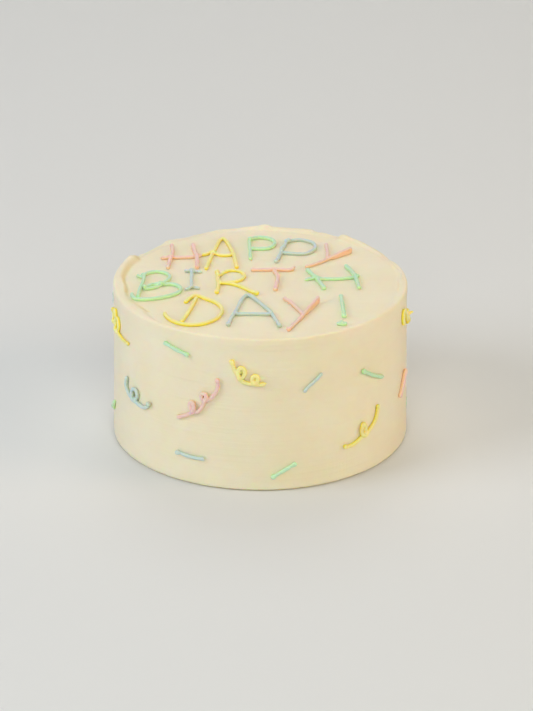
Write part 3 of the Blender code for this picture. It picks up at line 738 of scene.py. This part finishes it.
# %% Pipe the greeting
GREETING = {
    "letter_h_1": ("pink", [
        squeeze((-61, 61.9), (-60, 49.9), (-61, 37.9), (-62.5, 19.9), width=2.8, end=0.12),
        squeeze((-68, 38.2), (-60, 39.2), (-50, 39.6), (-43.5, 41.2), (-39.6, 44.2), width=2.6, start=0.05,
                tip_end=0.2),
        squeeze((-46.5, 62.3), (-45, 50.9), (-43, 37.9), (-42.5, 20.5), width=3.3, knobs=0.16),
    ]),
    "letter_a_1": ("yellow", [
        squeeze((-36.6, 18.5), (-33.8, 38.5), (-31, 54.9), (-28.4, 69.2), (-25.9, 73.9), (-23.4, 69.2),
                (-20.5, 56.9), (-17.9, 42.9), (-15.8, 20.4), start=0.1, end=0.2),
        squeeze((-40.8, 43.8), (-37.5, 45.1), (-34, 47.5), (-29.5, 45.4), (-25, 43.0), (-18.2, 44.1),
                width=2.5, start=0, tip_start=0.3, knobs=0.1),
    ]),
    "letter_p_1": ("green", [
        squeeze((-7.5, 71.9), (-7, 52.9), (-6.5, 35.9), width=2.6, end=0.1),
        squeeze((-8, 68.9), (-5, 74.4), (1, 76.2), (8, 72.4), (10, 63.9), (5.5, 55.9), (-6, 54.9),
                start=0.05),
    ]),
    "letter_p_2": ("blue", [
        squeeze((18.3, 70.9), (16.8, 60.4), (14.6, 51), width=2.6, knobs=0.12),
        squeeze((14.8, 53.8), (14.2, 46.9), (10.5, 30.4), width=2.8, end=0.15, knobs=0.1),
        squeeze((18.5, 67.4), (22, 70.7), (29, 71.7), (36.5, 65.9), (37.3, 54.9), (30, 46.2), (15.5, 47.7),
                width=2.6, start=0.35),
    ]),
    "letter_y_1": ("pink", [
        squeeze((45.3, 63.4), (46, 52.9), (46, 38.9), start=0.15),
        squeeze((62.6, 50.6), (56.6, 45.1), (49, 38.3), width=2.4, start=0, end=0),
        squeeze((62.7, 50.8, 1.1), (56.5, 45.2, 0.7), (49.2, 38.7, 0.1), width=2.4, start=0, end=0,
                climb=0),
        squeeze((62.8, 51, 2.3), (56.4, 45.4, 1.6), (49.7, 39.4, 0.6), (45.8, 36.3, 0.2), (39.1, 29.5),
                (30.5, 22.3), width=2.5, start=0, end=0.12, tip_start=0.2, knobs=0.07, climb=0.1),
    ]),
    "letter_b": ("green", [
        squeeze((-83, 8.5), (-80.9, 6.1), (-77.8, 4.3), width=2.1, start=0, knobs=0.25),
        squeeze((-82.6, 6.9), (-80.6, 4.5), (-78.2, 2.7), width=1.5, start=0, knobs=0.25),
        squeeze((-77.6, 5.9), (-78.4, -5.1), (-79.8, -16.1), (-80.7, -29.6), width=2.6, end=0.1),
        squeeze((-79, 4.5), (-77.6, 8.5), (-76.1, 11.4), (-72.5, 13.9), (-66.9, 13.9), (-62.5, 10.5),
                (-60.6, 4.9), (-62.2, -1.7), (-65, -6.1), (-67.4, -10.6), (-70.5, -13.1),
                (-74.1, -15.3), (-77.6, -14.9), width=2.5),
        squeeze((-77.6, -16.1), (-74.6, -12.1), (-71.2, -8.5), (-67, -8.5), (-63, -8.1), (-58.3, -7.9),
                (-54.3, -11.3), (-52.8, -16.8), (-54.8, -22.9), (-61.1, -28.4), (-70, -32.5),
                (-76.5, -33.8), (-82.2, -32.7), (-84.2, -28.6), (-84.9, -23.6), width=2.7, start=0.05,
                tip_end=1.3),
    ]),
    "letter_i": ("blue", [
        squeeze((-46, 15.5), (-46, 1.9), (-45.6, -14.5), width=2.6),
        squeeze((-51.2, 15.9), (-46.2, 15.1), (-42.7, 14.5), (-38.9, 13.3), width=2.2, tip_end=0.2),
        squeeze((-50.2, -16.9), (-46.2, -14.7), (-42.8, -13.9), (-39.9, -14.9), width=2.1, tip_start=0.2),
    ]),
    "letter_r": ("yellow", [
        squeeze((-29, 13.9), (-28.2, -1.1), (-28, -12.1), (-28.9, -23.3), width=2.8, start=0.3, end=0.15),
        squeeze((-28.4, 3.9), (-26.6, 8.5), (-24, 13.5), (-19.6, 16.3), (-13.6, 14.5), (-10.6, 7.9),
                (-12.4, 0.7), (-17.1, -3.5), (-22.6, -4.5), (-28.2, -4.7), width=2.4),
        squeeze((-27.6, -6.3), (-19.9, -7.1), (-13.7, -11.3), (-7.3, -18.8), (-1.2, -25.2), width=2.7,
                start=0.05, end=0.32),
    ]),
    "letter_t": ("pink", [
        squeeze((9.4, 15.5), (11.8, 3.9), (9.9, -18.8), width=3.0, end=0.12, knobs=0.08),
        squeeze((-6.5, 16.9), (6.6, 17.5), (13.1, 17.5), (19.5, 16.8), (23.9, 20.8), width=2.7, start=0.15,
                tip_end=1.7),
    ]),
    "letter_h_2": ("green", [
        squeeze((31.6, 17.7), (35.5, 7.9), (38.7, -0.7), (42.8, -16.3), width=2.9, start=0.12, end=0.16),
        squeeze((29.4, -0.2), (34.7, 2), (41.8, 1.5), (51.4, 1.5), (61.7, 3.9), (66.5, 8.1), width=2.4,
                start=-0.1, tip_start=0.2),
        squeeze((57.5, 24.8), (60.8, 17.1), (63.9, 3.5), (65.9, -15.3), width=2.9, start=0.1, end=0.12),
    ]),
    "letter_d": ("yellow", [
        squeeze((-42.1, -31.1), (-44.8, -46.1), (-48.3, -61.1), (-51, -71.1), width=2.7, knobs=0.1),
        squeeze((-49.5, -39.1), (-46.3, -31.7), (-42.2, -27.7), (-37.1, -31.5), (-29, -39.7), (-24.9, -51.1),
                (-28, -64.7), (-35.7, -73.5), (-44.2, -76.1), (-52.1, -73.7), (-57.4, -68.5),
                (-60.9, -61.7), (-62.3, -55.5), start=0.05, tip_end=0.3),
    ]),
    "letter_a_2": ("blue", [
        squeeze((-20.9, -77.1), (-18, -61.6), (-15.4, -51.5), (-12.4, -36.1), (-9.1, -27.7), (-5.4, -30.1),
                (0.5, -41.3), (6.4, -54.9), (9.6, -65.1), (12.7, -79.4), width=2.6, start=0.3, end=0.3),
        squeeze((-17, -58.6), (-5, -58.3), (8.2, -59.1), width=2.6),
    ]),
    "letter_y_2": ("pink", [
        squeeze((15.5, -31.8), (20.2, -39.5), (25.1, -51.5), (28.3, -59.1), start=0.12),
        squeeze((38.6, -35.9), (33.9, -47.2), (29.2, -57.8), width=2.4, start=0, end=0),
        squeeze((38.6, -35.7, 1.1), (33.8, -47.1, 0.7), (29.2, -57.7, 0.1), width=2.4, start=0, end=0,
                climb=0),
        squeeze((38.7, -35.4, 2.3), (33.7, -46.9, 1.5), (29.1, -57.5, 0.5), (25.5, -66.1), (17.7, -84.6),
                width=2.6, start=0, tip_start=0.2, end=0.2, climb=0.1),
    ]),
    "mark_stroke": ("green", [
        squeeze((53.2, -27.6), (53.9, -42.1), (54.5, -63.1), start=0.1, end=0.24, width=2.9),
    ]),
    "mark_dot": ("green", [
        squeeze((49.2, -73.4), (52.6, -74.4), (56.2, -73.6), width=3.5, start=-0.4, end=-0.4),
        squeeze((52.4, -73.9, -1.4), (52.4, -73.85, 0.4), (52.4, -73.8, 2.1), width=4.6, start=0, end=-0.3,
                climb=0),
    ]),
}
for name, (colour, bags) in GREETING.items():
    pipe(name, colour, on_top, bags)
print("piped", len(GREETING), "letters and marks")

# %% [markdown]
# ## Dashes round the side
# Short squeezes in four colours stand for confetti. On the side a place is given as the arc from the
# front and the height, both in millimetres. The back carries the same mix as the front, and there a
# middle, a length and a tilt are enough to place each one.

# %% Pipe the dashes
DASHES = {
    "dash_01": ("green", squeeze((-66.9, 96.7), (-57.6, 94.1), (-47.2, 91.8), end=0.22, knobs=0.12)),
    "dash_02": ("blue", squeeze((-57.5, 21.6), (-46.5, 20.4), (-36, 20.6), start=0.35)),
    "dash_03": ("green", squeeze((7, 10.2), (15, 15), (23.5, 19.8), start=0.2, end=0.22, knobs=0.12)),
    "dash_04": ("blue", squeeze((28, 69.3), (32.2, 73.4), (36, 76.3), (41, 80.9), width=2.3, knobs=0.2)),
    "dash_05": ("green", squeeze((71.8, 75), (84, 67.7), (94.6, 63), start=0.4, end=-0.35,
                                 tip_end=0.8)),
    "dash_06": ("pink", squeeze((117, 38.5), (123.3, 46, 0.1), (130, 54.6, 0.4), width=3.1, start=0,
                                end=0)),
    "dash_07": ("green", squeeze((169.8, 15.4), (170.2, 10.8), (170.8, 6.2), width=2.4, end=-0.3)),
    "dash_08": ("green", squeeze((-133.5, 29.4), (-136, 25.2, 0.3), (-138.6, 20.4), width=2.5, start=0,
                                 end=-0.4)),
    "dash_09": ("blue", squeeze((-169.5, 83.2), (-168.6, 88.8), (-168, 94.2), width=2.5, start=-0.2,
                                end=0.1)),
}
# Colour, arc and height of the middle, length, tilt in degrees and bow in mm.
BACK_DASHES = {
    "dash_10": ("pink", 183, 76, 19, -34, 1.0),
    "dash_11": ("blue", 196, 34, 20, 12, -1.2),
    "dash_12": ("green", 222, 92, 18, 24, 1.0),
    "dash_13": ("pink", 252, 24, 19, -22, 1.2),
    "dash_14": ("blue", 268, 80, 17, 58, 0.8),
    "dash_15": ("green", 296, 50, 20, -8, -1.0),
    "dash_16": ("yellow", 318, 88, 18, -30, 1.2),
    "dash_17": ("blue", 350, 18, 19, 16, 1.0),
    "dash_18": ("pink", 372, 66, 18, -52, 1.0),
    "dash_19": ("green", 408, 90, 20, 6, 1.2),
    "dash_20": ("yellow", 424, 22, 18, -38, -0.8),
}
for number, (name, (colour, arc, z, length, tilt, bow)) in enumerate(BACK_DASHES.items()):
    along = Vector((math.cos(math.radians(tilt)), math.sin(math.radians(tilt)))) * length / 2
    middle = Vector((arc, z))
    over = along.orthogonal().normalized() * bow
    blob = 0.4 if number % 3 == 0 else 0.1
    tip = 0.7 if number % 2 else 0.0
    DASHES[name] = (colour, squeeze(middle - along, middle + over, middle + along, start=blob,
                                    tip_end=tip))
for name, (colour, bag) in DASHES.items():
    pipe(name, colour, on_side, [bag])
print("piped", len(DASHES), "dashes")

# %% [markdown]
# ## Streamers
# A streamer is one long squeeze in which the hand circles once or twice, as in writing a joined e. Our
# bead already climbs over itself, so a curl only needs points that go round. In a tight curl the icing
# runs together, so some have a short extra bead first, which fills the middle.

# %% Pipe the streamers
STREAMERS = {
    "streamer_01": ("yellow", [
        squeeze((-12.4, 86.2), (-12.5, 83.4), width=1.7, start=0, end=0),
        squeeze((-3.2, 80.8), (-3.3, 79.7), width=1.5, start=0, end=0),
        squeeze((-18.8, 93.5), (-17.1, 88.5), (-15.3, 84.3), (-13.1, 81.4), (-10.8, 82), (-9.7, 84.9),
                (-10.8, 87.5), (-12.8, 87.8), (-14.1, 85.6), (-13.7, 82), (-11.9, 79), (-9, 77.5),
                (-6, 77), (-3.6, 77.8), (-1.6, 79.5), (-1.7, 81.8), (-3.3, 82.8), (-4.9, 81.6),
                (-4.8, 79.2), (-3, 77.2), (0, 76.6), (4, 77.3), width=2.9, start=0.25, tip_end=0.4),
    ]),
    "streamer_02": ("pink", [
        squeeze((-35.6, 66.2), (-35.2, 65.2), width=1.6, start=0, end=0),
        squeeze((-44.6, 57), (-44.7, 55.6), width=1.6, start=0, end=0),
        squeeze((-27.9, 79.3), (-27.2, 74.1), (-29.4, 68.2), (-33, 64), (-36.7, 62.6), (-38.6, 64.6),
                (-37.6, 67), (-35.2, 66.9), (-35, 64.4), (-36.7, 61), (-38.8, 56.2), (-42, 53.2),
                (-45.7, 54.2), (-46.7, 57.4), (-45.5, 59.6), (-43.8, 58.4), (-43.5, 55.2),
                (-45.6, 52), (-51, 48.7), (-56.2, 46.5), width=2.8, start=0.25, end=0.25),
    ]),
    "streamer_03": ("blue", [squeeze(
        (-106, 59.2), (-107.6, 52.6), (-104.6, 48.3), (-99.2, 46.3), (-94.6, 47.3), (-92.9, 50.6),
        (-94.8, 53.4), (-98.2, 52.8), (-99.4, 50), (-97.8, 47), (-93.2, 44.8), (-87.2, 44),
        (-82.6, 45.7), (-79.8, 49.9), width=2.8, start=0, tip_start=0.5, end=0.35)]),
    "streamer_04": ("yellow", [
        squeeze((72.9, 31.5), (72.8, 34.2), width=1.8, start=0, end=0),
        squeeze((56.4, 25.2), (60.6, 24.2), (65, 24.7), (70, 27), (73.6, 29), (74.8, 32.6),
                (73.8, 36.2), (72, 36.4), (71, 33), (71.8, 29.4), (75, 28.6), (80, 31.6), (84, 35),
                (86.3, 40), (87.3, 46), width=2.8, start=0.2),
    ]),
    "streamer_05": ("yellow", [squeeze(
        (-138.4, 95.4), (-138, 92.0), (-134, 88.9), (-130, 89.3), (-128.3, 92.5), (-130, 96.4),
        (-132.8, 95.5), (-133.6, 92.5), (-131.5, 88.8), (-127.5, 86.2), (-123.6, 85.2), (-121.2, 88.5),
        (-123, 93), (-126, 92.5), (-126.9, 89), (-125, 84.8), (-120, 83.0), (-112, 82.1), (-104, 82.6),
        width=2.5, start=0.3)]),
    "streamer_06": ("yellow", [
        squeeze((126.5, 87.3), (125.2, 92), (126.4, 97), (130.2, 96.2), (133.8, 91.8), (136.8, 87.4),
                (139.6, 86.6), (141.2, 89.4), (139.8, 92.6), (137.4, 92), (137, 89), (139, 85.6),
                (141.8, 82.7), width=2.7),
        squeeze((137.6, 90.9, 0.2), (138.4, 91.6, 1.6), (139.2, 92.2, 3.2), width=2.6, start=0, end=-0.3),
    ]),
    "streamer_07": ("yellow", [squeeze(
        (207, 62), (209.3, 57.6), (213, 54), (217.8, 53), (221.2, 56), (220, 60), (217, 60),
        (215.8, 56.6), (217.6, 52.9), (222.5, 52.3), (229, 53.4), (236, 56), width=2.8, start=0.3)]),
    "streamer_08": ("pink", [squeeze(
        (278, 20), (283, 17), (288, 15.6), (292, 16.3), (293.7, 19.6), (291.8, 22.9), (289, 22.2),
        (288.4, 19), (290.3, 15.8), (295.5, 16), (301, 19.6), (306, 25), width=2.8, tip_end=0.6)]),
    "streamer_09": ("blue", [squeeze(
        (332, 62), (333.8, 57.5), (337, 53.4), (341, 51.8), (344.1, 55), (342.7, 59), (339.8, 58.6),
        (338.9, 55.2), (340.8, 51.8), (345, 49.6), (349, 50), (352.2, 52.6), (351, 56), (348.4, 55.6),
        (347.8, 52.6), (349.6, 50), (353.5, 49.8), (358, 50.5), width=2.7, start=0.25)]),
    "streamer_10": ("green", [squeeze(
        (390, 54), (393.6, 50.5), (398, 48.3), (402.5, 47.9), (405.6, 51), (404.4, 54.9),
        (401.6, 54.9), (400.4, 51.6), (402.3, 48), (407, 47.2), (412.5, 49), (418, 53), width=2.8,
        start=0.3, tip_end=0.5)]),
}
for name, (colour, bags) in STREAMERS.items():
    pipe(name, colour, on_side, bags)
print("piped", len(STREAMERS), "streamers")

# %% [markdown]
# ## Finish
# The triangles of the body and of every piped piece are counted and printed.

# %% Finish
triangles = 0
for piece in bpy.context.scene.objects:
    if piece.type == "MESH" and piece.name.startswith(("piped_", "cake_body")):
        piece.data.calc_loop_triangles()
        triangles += len(piece.data.loop_triangles)
print("triangles in all:", triangles)
